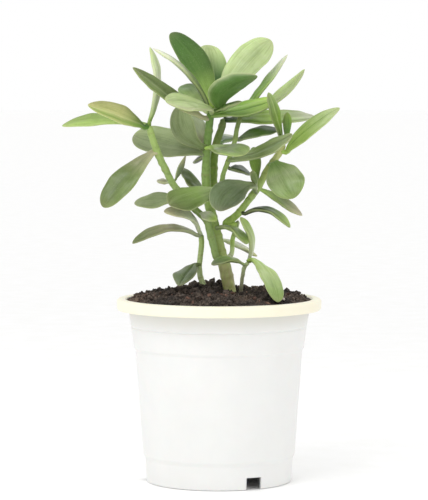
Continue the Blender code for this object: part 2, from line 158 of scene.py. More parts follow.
def unit(vectors):
    return vectors / np.maximum(np.linalg.norm(vectors, axis=-1, keepdims=True), 1e-12)


# ---- reading the plain solids

def cadPoints(name):  # every point of a node's plain solid, in metres, rounded to a micrometre
    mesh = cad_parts[name].data
    points = np.empty(len(mesh.vertices) * 3, np.float32)
    mesh.vertices.foreach_get("co", points)
    return np.round(points.reshape(-1, 3).astype(float), 6)


def ringsOf(name, sides):
    # the rings of points that the node's plain solid is skinned over, root end first:
    # the first ring is a flat end cap, and ring k is every point k edges away from it
    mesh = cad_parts[name].data
    mesh.calc_loop_triangles()
    triangles = np.empty(len(mesh.loop_triangles) * 3, np.int32)
    mesh.loop_triangles.foreach_get("vertices", triangles)
    points, index = np.unique(cadPoints(name), axis=0, return_inverse=True)
    triangles = index.reshape(-1)[triangles.reshape(-1, 3)]
    normal = unit(np.cross(points[triangles[:, 1]] - points[triangles[:, 0]],
                           points[triangles[:, 2]] - points[triangles[:, 0]]))
    middle = points[triangles].mean(1)
    apart = np.abs(((middle[:, None] - middle[None]) * normal[:, None]).sum(-1))
    level = (normal @ normal.T > 0.99999) & (apart < 0.02 * mm)
    caps = {tuple(np.unique(triangles[row])) for row in level}
    edges = np.vstack([triangles[:, [0, 1]], triangles[:, [1, 2]], triangles[:, [2, 0]]])
    edges = np.unique(np.vstack([edges, edges[:, ::-1]]), axis=0)
    routes = []
    for cap in caps:
        rings, seen = [np.array(cap)], np.zeros(len(points), bool)
        while len(rings[-1]):
            seen[rings[-1]] = True
            after = np.unique(edges[np.isin(edges[:, 0], rings[-1]), 1])
            rings.append(after[~seen[after]])
        if all(len(ring) == sides for ring in rings[:-2]):
            routes.append([points[ring] for ring in rings[:-1]])
    return min(routes, key=lambda rings: rings[0][0, 2])


def readStem(name):  # middle line and radius of a stem, root end first
    rings = [ring for ring in ringsOf(name, 10) if len(ring) == 10]
    middle = np.array([ring.mean(0) for ring in rings])
    radius = np.array([np.linalg.norm(ring - ring.mean(0), axis=1).mean() for ring in rings])
    return middle, radius


def readLeaf(name):  # middle line, half width, across and upper face directions of a leaf, base first
    rings = ringsOf(name, 8)
    middle = np.array([ring.mean(0) for ring in rings])
    across, half, lift = [], [], []
    for ring in rings:
        gaps = np.linalg.norm(ring[:, None] - ring[None], axis=2)
        i, j = np.unravel_index(np.argmax(gaps), gaps.shape)
        half.append(0.5 * gaps[i, j])
        lift.append(0.5 * (ring[i] + ring[j]) - ring.mean(0))
        way = ring[j] - ring[i] if gaps[i, j] > 0.4 * mm else across[-1]
        across.append(way if not across or way @ across[-1] > 0 else -way)
    half = np.array(half)
    half[-1] = 0.0
    ahead = unit(np.gradient(middle, axis=0))
    across = unit(np.array(across))
    up = unit(np.cross(ahead, across))
    if (np.array(lift) * up).sum() < 0:  # the rims stand up on the upper face
        across, up = -across, -up
    return middle, half, across, up


def denseLine(middle, count=200):  # a middle line read at many even shares of its points
    knots, shares = np.linspace(0, 1, len(middle)), np.linspace(0, 1, count)
    return np.stack([np.interp(shares, knots, axis) for axis in middle.T], 1)


stems = {name: readStem(name) for name in stemNames}
stemPoints = np.vstack([denseLine(middle) for middle, radius in stems.values()])
print("read", len(stems), "stems and", len(leafNames), "leaves from the frame")


# ---- camera, floor and light

view = {"distance": 1.620, "height": 0.2526, "aside": -0.0031, "aimHeight": 0.1450, "lens": 186.6}


def makeCamera():
    camera = bpy.data.objects.new("camera", bpy.data.cameras.new("camera"))
    bpy.context.scene.collection.objects.link(camera)
    bpy.context.scene.camera = camera
    camera.data.lens = view["lens"]
    camera.data.clip_end = 20
    camera.location = potMiddle + [view["aside"], -view["distance"], view["height"]]
    pitch = math.atan2(view["height"] - view["aimHeight"], view["distance"])
    camera.rotation_euler = (math.pi / 2 - pitch, 0, 0)


studio = {  # a softbox's power in watts, its place from the pot's foot and its size, in metres
    "sky": 1.0, "skyColour": "#FFFFFF", "floor": "#FCFCFB", "floorLight": "#FFFFFF", "floorSize": 40.0,
    "aimHeight": 0.17, "key": (13.0, (-0.45, -0.75, 1.35), 0.7), "fill": (5.0, (0.6, -1.3, 0.30), 0.9),
}


def makeStudio():
    material, tree, shader = newMaterial("matt studio paper", Roughness=0.9)
    place = addNode(tree, "ShaderNodeTexCoord")
    grain = addNode(tree, "ShaderNodeTexNoise", {"Vector": place.outputs["Object"], "Scale": 40.0,
                                                 "Detail": 3.0})
    paper = rampOf(tree, grain.outputs["Fac"], [(0.3, studio["floor"]), (0.7, studio["floorLight"])])
    tree.links.new(paper, shader.inputs["Base Color"])
    size = studio["floorSize"]
    corners = [(x * size, y * size, 0) for x, y in ((-1, -1), (1, -1), (1, 1), (-1, 1))]
    mesh = bpy.data.meshes.new("floor")
    mesh.from_pydata(corners, [], [(0, 1, 2, 3)])
    mesh.materials.append(material)
    floor = bpy.data.objects.new("floor", mesh)
    floor.location.z = -0.2 * mm  # just under the foot, so that the two don't flicker
    bpy.context.scene.collection.objects.link(floor)
    world = bpy.data.worlds.new("white room")
    bpy.context.scene.world = world
    world.use_nodes = True
    sky = world.node_tree.nodes["Background"]
    sky.inputs["Color"].default_value = linear(studio["skyColour"])
    sky.inputs["Strength"].default_value = studio["sky"]
    for key in ("key", "fill"):
        power, place, size = studio[key]
        name = key + " softbox"
        lamp = bpy.data.lights.new(name, "AREA")
        lamp.energy = power
        lamp.size = size
        lit = bpy.data.objects.new(name, lamp)
        bpy.context.scene.collection.objects.link(lit)
        lit.location = potMiddle + place
        aim = potMiddle + [0, 0, studio["aimHeight"]] - np.array(lit.location)
        lit.rotation_euler = (math.acos(aim[2] / np.linalg.norm(aim)) + math.pi, 0,
                              math.atan2(aim[1], aim[0]) + math.pi / 2 + math.pi)
    bpy.context.scene.view_settings.view_transform = "Standard"


makeCamera()
makeStudio()
print("camera, floor and light")


# ---- pot: injection-moulded polypropylene, white body and ivory rim

potShape = {  # millimetres; a pair is the radius and height of a turn in the outer wall
    "foot": 45.6, "wall": 1.6, "footTop": (46.4, 14.6), "step": (47.6, 17.0), "bodyTop": (52.4, 82.8),
    "collar": (53.4, 84.0), "band": (55.1, 97.5), "bandDepth": 0.4, "neck": 56.8, "lipHeight": 7.0,
    "mouth": 58.2, "floorTop": 9.6, "floorThick": 2.0, "floor": 44.2, "roundOff": 0.7, "unevenness": 0.05,
    "drainHoles": 6, "drainRing": 27.0, "drainRadius": 4.0, "drainFirst": 11.0, "columns": 216,
    "notches": 3, "notchWidth": 10.3, "notchHeight": 7.5, "notchFirst": -62.0, "shade": 13.0,
}


def potPlastic():
    # white PP, moulded against a fine-ground tool: an even satin face, faint flow marks and handling scuffs,
    # with painted shade under the lip
    material, tree, shader = newMaterial("white polypropylene", IOR=1.49, Subsurface_Weight=0.06,
                                         Subsurface_Scale=0.002)
    place = addNode(tree, "ShaderNodeTexCoord").outputs["Object"]
    height = addNode(tree, "ShaderNodeSeparateXYZ", {"Vector": place}).outputs["Z"]
    clouds = addNode(tree, "ShaderNodeTexNoise", {"Vector": place, "Scale": 55.0, "Detail": 4.0,
                                                  "Roughness": 0.6})
    body = rampOf(tree, clouds.outputs["Fac"], [(0.3, "#E6E6E4"), (0.55, "#E8E8E6"), (0.8, "#EAEAE8")])
    stretched = addNode(tree, "ShaderNodeMapping", {"Vector": place, "Scale": (1.0, 1.0, 0.12)})
    streaks = addNode(tree, "ShaderNodeTexNoise", {"Vector": stretched.outputs["Vector"], "Scale": 160.0,
                                                   "Detail": 3.0})
    dust = addNode(tree, "ShaderNodeMapRange", {"Value": streaks.outputs["Fac"], "From Min": 0.58,
                                                "From Max": 0.8, "To Max": 0.03})
    dusty = addNode(tree, "ShaderNodeMix", {"Factor": dust.outputs["Result"], "A": body,
                                            "B": linear("#C9C6BC")}, data_type="RGBA")
    neckHeight = float(potHigh[2]) - potShape["lipHeight"] * mm
    shade = potShape["shade"] * mm  # painted shade: the wall is darkened for this far below the lip, where the lip's shadow falls
    underLipShadeMask = addNode(tree, "ShaderNodeMapRange", {"Value": height, "From Min": neckHeight - shade,
                                                     "From Max": neckHeight, "To Max": 0.5},
                        interpolation_type="SMOOTHSTEP")
    # painted shade under the lip, mixed into the wall's colour
    paintedLipShade = addNode(tree, "ShaderNodeMix", {"Factor": underLipShadeMask.outputs["Result"], "B": linear("#C2C0B4"),
                                            "A": dusty.outputs["Result"]}, data_type="RGBA")
    lip = addNode(tree, "ShaderNodeMapRange", {
        "Value": height, "From Min": float(potHigh[2]) - (potShape["lipHeight"] + 0.4) * mm,
        "From Max": float(potHigh[2]) - (potShape["lipHeight"] - 0.2) * mm})
    ivory = rampOf(tree, clouds.outputs["Fac"], [(0.3, "#F3EED6"), (0.7, "#F5F1DB")])
    final = addNode(tree, "ShaderNodeMix", {"Factor": lip.outputs["Result"], "B": ivory}, data_type="RGBA")
    tree.links.new(paintedLipShade.outputs["Result"], final.inputs["A"])
    tree.links.new(final.outputs["Result"], shader.inputs["Base Color"])
    sheen = addNode(tree, "ShaderNodeMapRange", {"Value": clouds.outputs["Fac"], "From Min": 0.3,
                                                 "From Max": 0.7, "To Min": 0.34, "To Max": 0.48})
    tree.links.new(sheen.outputs["Result"], shader.inputs["Roughness"])
    grain = addNode(tree, "ShaderNodeTexNoise", {"Vector": place, "Scale": 900.0, "Detail": 2.0})
    bump = addNode(tree, "ShaderNodeBump", {"Height": grain.outputs["Fac"], "Strength": 0.05,
                                            "Distance": 0.0002})
    tree.links.new(bump.outputs["Normal"], shader.inputs["Normal"])
    return material


def roundedProfile(corners, radius, steps=4):
    # the corner list with each corner cut back by the radius and turned by a quadratic curve
    corners = np.array(corners, float)
    made = [corners[0]]
    for before, corner, after in zip(corners, corners[1:], corners[2:]):
        back, on = before - corner, after - corner
        reach = min(radius, 0.45 * np.linalg.norm(back), 0.45 * np.linalg.norm(on))
        start, end = corner + reach * unit(back), corner + reach * unit(on)
        for t in np.linspace(0, 1, steps):
            made.append((1 - t) ** 2 * start + 2 * t * (1 - t) * corner + t ** 2 * end)
    made.append(corners[-1])
    return np.array(made)


def cutWith(piece, points, faces):  # takes a closed solid out of the piece
    mesh = bpy.data.meshes.new("cutter")
    mesh.from_pydata(points.tolist(), [], faces)
    cutter = bpy.data.objects.new("cutter", mesh)
    bpy.context.scene.collection.objects.link(cutter)
    cut = piece.modifiers.new("cut", "BOOLEAN")
    cut.operation = "DIFFERENCE"
    cut.solver = "EXACT"
    cut.object = cutter
    shown = piece.evaluated_get(bpy.context.evaluated_depsgraph_get())
    solid = bpy.data.meshes.new_from_object(shown)
    piece.modifiers.clear()
    piece.data = solid
    bpy.data.objects.remove(cutter, do_unlink=True)


def uprightBar(x, y, low, high, radius, sides):  # a round upright bar's points and faces
    angles = np.linspace(0, 2 * np.pi, sides, endpoint=False)
    ring = np.stack([x + radius * np.cos(angles), y + radius * np.sin(angles)], 1)
    ends = [np.column_stack([ring, np.full(sides, z)]) for z in (low, high)]
    faces = (gridFaces(2, sides) + poleFaces(0, sides, 2 * sides, False)
             + poleFaces(1, sides, 2 * sides + 1, True))
    return np.vstack([*ends, [(x, y, low), (x, y, high)]]), faces


def makePot():
    shape = potShape
    rim = 0.5 * (potHigh - potLow)[0] / mm
    height = (potHigh - potLow)[2] / mm
    foot, wall, neck, mouth = (shape[key] for key in ("foot", "wall", "neck", "mouth"))
    lipBase = height - shape["lipHeight"]
    underside = shape["floorTop"] - shape["floorThick"]
    bandRadius, bandHeight = shape["band"]
    dip = shape["bandDepth"]
    turns = [shape["footTop"], shape["step"], shape["bodyTop"]]
    inner = [(radius - wall, z) for radius, z in turns]
    corners = [
        (0.01, underside), (foot - wall, underside), (foot - wall, 0), (foot, 0), *turns, shape["collar"],
        (bandRadius, bandHeight - 2 * dip), (bandRadius - dip, bandHeight),
        (bandRadius + dip, bandHeight + 2 * dip), (neck, lipBase), (rim - 0.6, lipBase),
        (rim, lipBase + 1.0), (rim, height - 1.2), (rim - 1.2, height),
        (mouth + 0.8, height), (mouth, height - 0.9), (neck - wall, lipBase - wall), *reversed(inner),
        (shape["floor"], shape["floorTop"]), (0.01, shape["floorTop"]),
    ]
    profile = roundedProfile(corners, shape["roundOff"])
    columns = shape["columns"]
    angles = np.linspace(0, 2 * np.pi, columns, endpoint=False)
    ring = np.stack([np.cos(angles), np.sin(angles)], 1)
    heights = np.broadcast_to(profile[:, None, 1:], (len(profile), columns, 1))
    points = np.concatenate([profile[:, None, :1] * ring[None], heights], 2).reshape(-1, 3)
    outer = np.hypot(points[:, 0], points[:, 1]) > foot - wall - 0.5
    swell = shape["unevenness"] * softNoise(points, 30, 5) * outer * np.clip(points[:, 2] / 20, 0, 1)
    points[:, :2] *= (1 + swell / 55)[:, None]
    points = np.vstack([points, [(0, 0, underside), (0, 0, shape["floorTop"])]])
    last = len(profile) - 1
    faces = (gridFaces(len(profile), columns) + poleFaces(0, columns, len(points) - 2, False)
             + poleFaces(last, columns, len(points) - 1, True))
    pot = makePiece("growerPot", points * mm + potMiddle, faces, potPlastic())
    for i in range(shape["drainHoles"]):
        turn = math.radians(shape["drainFirst"] + 360 * i / shape["drainHoles"])
        bar, barFaces = uprightBar(shape["drainRing"] * math.cos(turn), shape["drainRing"] * math.sin(turn),
                                   underside - 2, shape["floorTop"] + 2, shape["drainRadius"], 32)
        cutWith(pot, bar * mm + potMiddle, barFaces)
    for i in range(shape["notches"]):
        turn = math.radians(shape["notchFirst"] + 360 * i / shape["notches"])
        out = np.array([math.cos(turn), math.sin(turn), 0])
        side = np.array([-math.sin(turn), math.cos(turn), 0]) * 0.5 * shape["notchWidth"]
        up = np.array([0, 0, 1])
        block = np.array([out * (foot + r) + side * s + up * z for z in (-2, shape["notchHeight"])
                          for r, s in ((-6, -1), (6, -1), (6, 1), (-6, 1))])
        sides = [(0, 3, 2, 1), (4, 5, 6, 7), (0, 1, 5, 4), (1, 2, 6, 5), (2, 3, 7, 6), (3, 0, 4, 7)]
        cutWith(pot, block * mm + potMiddle, sides)
    pot.data.polygons.foreach_set("use_smooth", np.full(len(pot.data.polygons), True))
    pot.data.set_sharp_from_angle(angle=math.radians(32))
    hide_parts("pot")


makePot()
print("pot")


# ---- soil: peat-based potting mix, with clods, bark flecks and a few grains of perlite

soilShape = {
    "grain": 0.55, "clod": 1.1, "knocks": 0.17, "rows": 92, "columns": 288, "wallGap": 2.5,
    "crumbs": 1500, "clods": 90, "flecks": 130, "beads": 9,
}
soilHeaps = {  # how many, their sizes, squash, seed, reach, detail, middle beside the pot's axis, and height
    "heapedClods": (90, (1.2, 2.8), (1, 1, 0.85), 34, 15, 1, (-15, -6), 5.0),
    "heapedCrumbs": (260, (0.5, 1.2), (1, 1, 1), 35, 18, 0, (-13, -6), 5.5),
    "rearClods": (60, (1.2, 2.8), (1, 1, 0.85), 37, 13, 1, (-4, 20), 4.0),
}


def soilMaterial():
    # moist peat: nearly black in the hollows, dusty brown where the crumbs dry out
    material, tree, shader = newMaterial("moist potting mix", Roughness=0.95, IOR=1.4)
    place = addNode(tree, "ShaderNodeTexCoord").outputs["Object"]
    broad = addNode(tree, "ShaderNodeTexNoise", {"Vector": place, "Scale": 120.0, "Detail": 5.0,
                                                 "Roughness": 0.7})
    fine = addNode(tree, "ShaderNodeTexNoise", {"Vector": place, "Scale": 900.0, "Detail": 4.0,
                                                "Roughness": 0.7})
    mixed = addNode(tree, "ShaderNodeMath", {0: broad.outputs["Fac"], 1: fine.outputs["Fac"]},
                    operation="MULTIPLY")
    crumbs = rampOf(tree, mixed.outputs["Value"], [(0.12, "#1D1A18"), (0.24, "#4A433E"), (0.40, "#8C8279")])
    patches = addNode(tree, "ShaderNodeTexNoise", {"Vector": place, "Scale": 34.0, "Detail": 2.0})
    damp = rampOf(tree, patches.outputs["Fac"], [(0.38, "#8E8B8C"), (0.52, "#F0E4DA"), (0.66, "#FFE9D8")])
    soaked = addNode(tree, "ShaderNodeMix", {"Factor": 0.85, "A": crumbs, "B": damp}, data_type="RGBA",
                     blend_type="MULTIPLY")
    tree.links.new(soaked.outputs["Result"], shader.inputs["Base Color"])
    bump = addNode(tree, "ShaderNodeBump", {"Height": fine.outputs["Fac"], "Strength": 0.6,
                                            "Distance": 0.0006})
    tree.links.new(bump.outputs["Normal"], shader.inputs["Normal"])
    return material


def fleckMaterial():
    # composted bark: reddish brown fibres, lighter on broken edges
    material, tree, shader = newMaterial("composted bark", Roughness=0.85, IOR=1.45)
    place = addNode(tree, "ShaderNodeTexCoord").outputs["Object"]
    fibre = addNode(tree, "ShaderNodeTexNoise", {"Vector": place, "Scale": 420.0, "Detail": 4.0})
    bark = rampOf(tree, fibre.outputs["Fac"], [(0.3, "#43332D"), (0.55, "#65493C"), (0.75, "#947767")])
    tree.links.new(bark, shader.inputs["Base Color"])
    bump = addNode(tree, "ShaderNodeBump", {"Height": fibre.outputs["Fac"], "Strength": 0.5,
                                            "Distance": 0.0004})
    tree.links.new(bump.outputs["Normal"], shader.inputs["Normal"])
    return material


def beadMaterial():
    # perlite: chalky expanded glass, off-white with dusty pits
    material, tree, shader = newMaterial("dusty perlite", Roughness=0.9, IOR=1.5)
    place = addNode(tree, "ShaderNodeTexCoord").outputs["Object"]
    pits = addNode(tree, "ShaderNodeTexVoronoi", {"Vector": place, "Scale": 1500.0})
    tree.links.new(rampOf(tree, pits.outputs["Distance"], [(0.1, "#9A8F82"), (0.5, "#D9D0C3")]),
                   shader.inputs["Base Color"])
    bump = addNode(tree, "ShaderNodeBump", {"Height": pits.outputs["Distance"], "Strength": 0.5,
                                            "Distance": 0.0003})
    tree.links.new(bump.outputs["Normal"], shader.inputs["Normal"])
    return material


soilLow, soilHigh = (np.array(corner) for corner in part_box("soil"))
soilTop = np.unique(cadPoints("soil"), axis=0)
soilTop = soilTop[soilTop[:, 2] > potHigh[2] - 3 * mm]


def soilHeight(across):  # the plain soil's top: its nearby points weighted by nearness
    far = ((across[:, None, :2] - soilTop[None, :, :2]) ** 2).sum(2)
    weight = np.exp(-far / (2 * (4.0 * mm) ** 2)) + 1e-12
    return (weight * soilTop[None, :, 2]).sum(1) / weight.sum(1)


def roughGround(points):  # clods and grains on top of it, lower towards the pot's wall
    flat = points[:, :2] / mm
    edge = 0.5 * (soilHigh - soilLow)[0] / mm
    inside = np.clip((edge - np.linalg.norm(flat - potMiddle[:2] / mm, axis=1)) / 6, 0, 1)
    clod = soilShape["clod"]
    lumps = np.abs(softNoise(flat, 9, 21)) * clod + np.abs(softNoise(flat, 4, 22)) * 0.5 * clod
    return (lumps + softNoise(flat, 1.6, 23) * 0.4 * soilShape["grain"]) * (0.25 + 0.75 * inside) * mm


def looseBits(count, size, squash, seed, radius, detail=0, around=(0, 0), heap=0.0):
    # angular crumbs: many small icosahedra, each stretched and knocked out of shape, lying on the soil
    random = np.random.default_rng(seed)
    golden = (1 + math.sqrt(5)) / 2
    body = unit(np.array([(-1, golden, 0), (1, golden, 0), (-1, -golden, 0), (1, -golden, 0), (0, -1, golden),
                          (0, 1, golden), (0, -1, -golden), (0, 1, -golden), (golden, 0, -1), (golden, 0, 1),
                          (-golden, 0, -1), (-golden, 0, 1)], float))
    shell = np.array([(0, 11, 5), (0, 5, 1), (0, 1, 7), (0, 7, 10), (0, 10, 11), (1, 5, 9), (5, 11, 4),
                      (11, 10, 2), (10, 7, 6), (7, 1, 8), (3, 9, 4), (3, 4, 2), (3, 2, 6), (3, 6, 8),
                      (3, 8, 9), (4, 9, 5), (2, 4, 11), (6, 2, 10), (8, 6, 7), (9, 8, 1)])
    for _ in range(detail):  # each round splits every triangle into four
        cornersOf = body[shell]
        middles = unit(cornersOf + np.roll(cornersOf, -1, axis=1))
        body = np.vstack([body, middles.reshape(-1, 3)])
        extra = np.arange(len(shell) * 3).reshape(-1, 3) + len(body) - 3 * len(shell)
        shell = np.vstack([np.stack([shell[:, 0], extra[:, 0], extra[:, 2]], 1),
                           np.stack([extra[:, 0], shell[:, 1], extra[:, 1]], 1),
                           np.stack([extra[:, 2], extra[:, 1], shell[:, 2]], 1), extra])
        body, same = np.unique(np.round(body, 6), axis=0, return_inverse=True)
        shell = same.reshape(-1)[shell]
    turn = np.linalg.qr(random.normal(size=(count, 3, 3)))[0]
    turn[np.linalg.det(turn) < 0, :, 0] *= -1
    across = random.uniform(*size, (count, 1, 1))
    scale = across * (np.array(squash) * random.uniform(0.75, 1.3, (count, 3)))[:, None]
    knocks = 1 + soilShape["knocks"] * random.normal(size=(count, len(body), 1))
    bits = (body[None] * knocks * scale) @ turn
    angle = random.uniform(0, 2 * np.pi, count)
    reach = radius * np.sqrt(random.uniform(0, 1, count))
    spots = potMiddle / mm + np.stack([around[0] + reach * np.cos(angle), around[1] + reach * np.sin(angle),
                                       np.zeros(count)], 1)
    ground = spots * mm
    top = soilHeight(ground) + roughGround(ground)
    piled = heap * (1 - reach / radius) * random.uniform(0, 1, count)
    spots[:, 2] = top / mm + 0.25 * scale.mean((1, 2)) + piled
    points = (bits + spots[:, None]).reshape(-1, 3) * mm
    faces = (shell[None] + len(body) * np.arange(count)[:, None, None]).reshape(-1, 3)
    return points, faces.tolist()


def makeSoil():
    edge = 0.5 * (soilHigh - soilLow)[0] / mm
    base = soilLow[2] / mm
    brim = soilTop[:, 2].min() / mm
    foot = 0.97 * potShape["foot"] - potShape["wall"]
    columns = soilShape["columns"]
    angles = np.linspace(0, 2 * np.pi, columns, endpoint=False)
    shares = np.linspace(1, 0.012, soilShape["rows"])
    radii = np.concatenate([[0.3 * foot, 0.7 * foot, foot, 0.5 * (foot + edge - 2), edge - 2], edge * shares])
    heights = np.concatenate([[base, base, base, 0.5 * (base + brim), brim - 6], np.zeros(len(shares))])
    points = np.stack([radii[:, None] * np.cos(angles), radii[:, None] * np.sin(angles),
                       np.broadcast_to(heights[:, None], (len(radii), columns))], 2)
    points = points.reshape(-1, 3) * mm + potMiddle
    upper = np.repeat(np.arange(len(radii)) >= len(radii) - len(shares), columns)
    points[upper, 2] = soilHeight(points[upper]) + roughGround(points[upper])
    middle = potMiddle + [0, 0, base * mm]
    top = points[-columns:].mean(0)
    points = np.vstack([points, middle[None], top[None]])
    faces = (gridFaces(len(radii), columns) + poleFaces(0, columns, len(points) - 2, False)
             + poleFaces(len(radii) - 1, columns, len(points) - 1, True))
    earth = soilMaterial()
    soil = makePiece("soilPlug", points, faces, earth)
    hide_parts("soil")
    reach = edge - soilShape["wallGap"]
    loose = {
        "soilCrumbs": looseBits(soilShape["crumbs"], (0.35, 1.1), (1, 1, 1), 31, reach),
        "soilClods": looseBits(soilShape["clods"], (1.2, 2.6), (1, 1, 0.8), 32, reach - 2, 1),
        **{name: looseBits(*heap) for name, heap in soilHeaps.items()},
        "barkFlecks": looseBits(soilShape["flecks"], (0.5, 1.2), (2.0, 0.9, 0.4), 33, reach),
        "perliteBeads": looseBits(soilShape["beads"], (0.9, 1.5), (1, 1, 0.9), 36, reach - 4, 1),
    }
    otherThanEarth = {"barkFlecks": fleckMaterial(), "perliteBeads": beadMaterial()}
    for name, bits in loose.items():
        piece = makePiece(name, *bits, otherThanEarth.get(name, earth), smooth=name == "perliteBeads")


makeSoil()
print("soil")


# ---- stems: green succulent stems with leaf scars, browner and barky at the foot

stemShape = {  # millimetres; heights are above the pot's rim
    "step": 0.7, "sides": 36, "ridge": 0.07, "ridgeSize": 5, "runOn": 7.0, "rootSwell": 1.1, "roundEnd": 1.6,
    "scarFirst": 6, "scarGap": 13.0, "scarRise": 0.38, "scarWidth": 1.0, "creaseDepth": 0.12,
    "creaseWidth": 0.3, "corkHeight": 14.0, "corkSpread": 11.0,
}


def stemMaterial():
    # smooth green rind that turns to thin brown cork near the soil, with short lengthwise cracks
    material, tree, shader = newMaterial("green stem rind", IOR=1.42, Roughness=0.46, Subsurface_Weight=0.12,
                                         Subsurface_Scale=0.0015)
    shader.inputs["Subsurface Radius"].default_value = (0.9, 1.0, 0.35)
    place = addNode(tree, "ShaderNodeTexCoord").outputs["Object"]
    colour = addNode(tree, "ShaderNodeAttribute", attribute_name="rind").outputs["Color"]
    scars = addNode(tree, "ShaderNodeAttribute", attribute_name="scar").outputs["Fac"]
    cork = addNode(tree, "ShaderNodeAttribute", attribute_name="cork").outputs["Fac"]
    mottle = addNode(tree, "ShaderNodeTexNoise", {"Vector": place, "Scale": 330.0, "Detail": 4.0,
                                                  "Roughness": 0.6})
    tint = rampOf(tree, mottle.outputs["Fac"], [(0.3, "#C9CBB4"), (0.5, "#FFFFFF"), (0.72, "#FFFFF0")])
    mixed = addNode(tree, "ShaderNodeMix", {"Factor": 0.7, "A": colour, "B": tint}, data_type="RGBA",
                    blend_type="MULTIPLY")
    fibres = addNode(tree, "ShaderNodeMapping", {"Vector": place, "Scale": (1.0, 1.0, 0.22)})
    cracks = addNode(tree, "ShaderNodeTexNoise", {"Vector": fibres.outputs["Vector"], "Scale": 650.0,
                                                  "Detail": 3.0})
    bark = rampOf(tree, cracks.outputs["Fac"], [(0.35, "#75614D"), (0.6, "#A28C74")])
    split = addNode(tree, "ShaderNodeMath", {0: cracks.outputs["Fac"], 1: cork}, operation="MULTIPLY")
    spread = addNode(tree, "ShaderNodeMapRange", {"Value": split.outputs["Value"], "From Min": 0.12,
                                                  "From Max": 0.5})
    barky = addNode(tree, "ShaderNodeMix", {"Factor": spread.outputs["Result"], "B": bark}, data_type="RGBA")
    tree.links.new(mixed.outputs["Result"], barky.inputs["A"])
    scarred = addNode(tree, "ShaderNodeMix", {"Factor": scars, "B": linear("#8C8A55")}, data_type="RGBA")
    tree.links.new(barky.outputs["Result"], scarred.inputs["A"])
    tree.links.new(scarred.outputs["Result"], shader.inputs["Base Color"])
    bump = addNode(tree, "ShaderNodeBump", {"Height": cracks.outputs["Fac"], "Strength": 0.25,
                                            "Distance": 0.0003})
    tree.links.new(bump.outputs["Normal"], shader.inputs["Normal"])
    return material


plantTints = {  # the tints that stems and leaves share, with light painted in: deep and dusk are painted shade, the palest are partly painted highlight, and some greens are greyed
    "deep": "#2A4418", "dusk": "#2E3A26", "dark": "#48702A", "leaf": "#5C8036", "moss": "#6C7D48",
    "slate": "#6B795C", "grass": "#7A963E", "fresh": "#82A64C", "spring": "#9CB466", "lime": "#AECB68",
    "meadow": "#88A05C", "sage": "#93A076", "pale": "#B8C892", "straw": "#BCBC7E", "buff": "#ABA68A",
    "mist": "#C4C9B4", "cream": "#E2E4D2", "bark": "#756C5C",
}
stemColours = {  # root end, middle and top, and how corky the root end is
    "stem_trunk": ("straw", "spring", "leaf", 0.55),
    "stem_rear": ("spring", "grass", "moss", 0.0),
    "stem_left": ("meadow", "meadow", "spring", 0.0),
    "stem_right": ("lime", "spring", "straw", 0.0),
    "stem_strut": ("cream", "lime", "sage", 0.0),
    "stem_centre": ("leaf", "spring", "moss", 0.0),
    "stem_small_right": ("bark", "bark", "pale", 0.25),
    "stem_small_left": ("straw", "pale", "spring", 0.2),
}


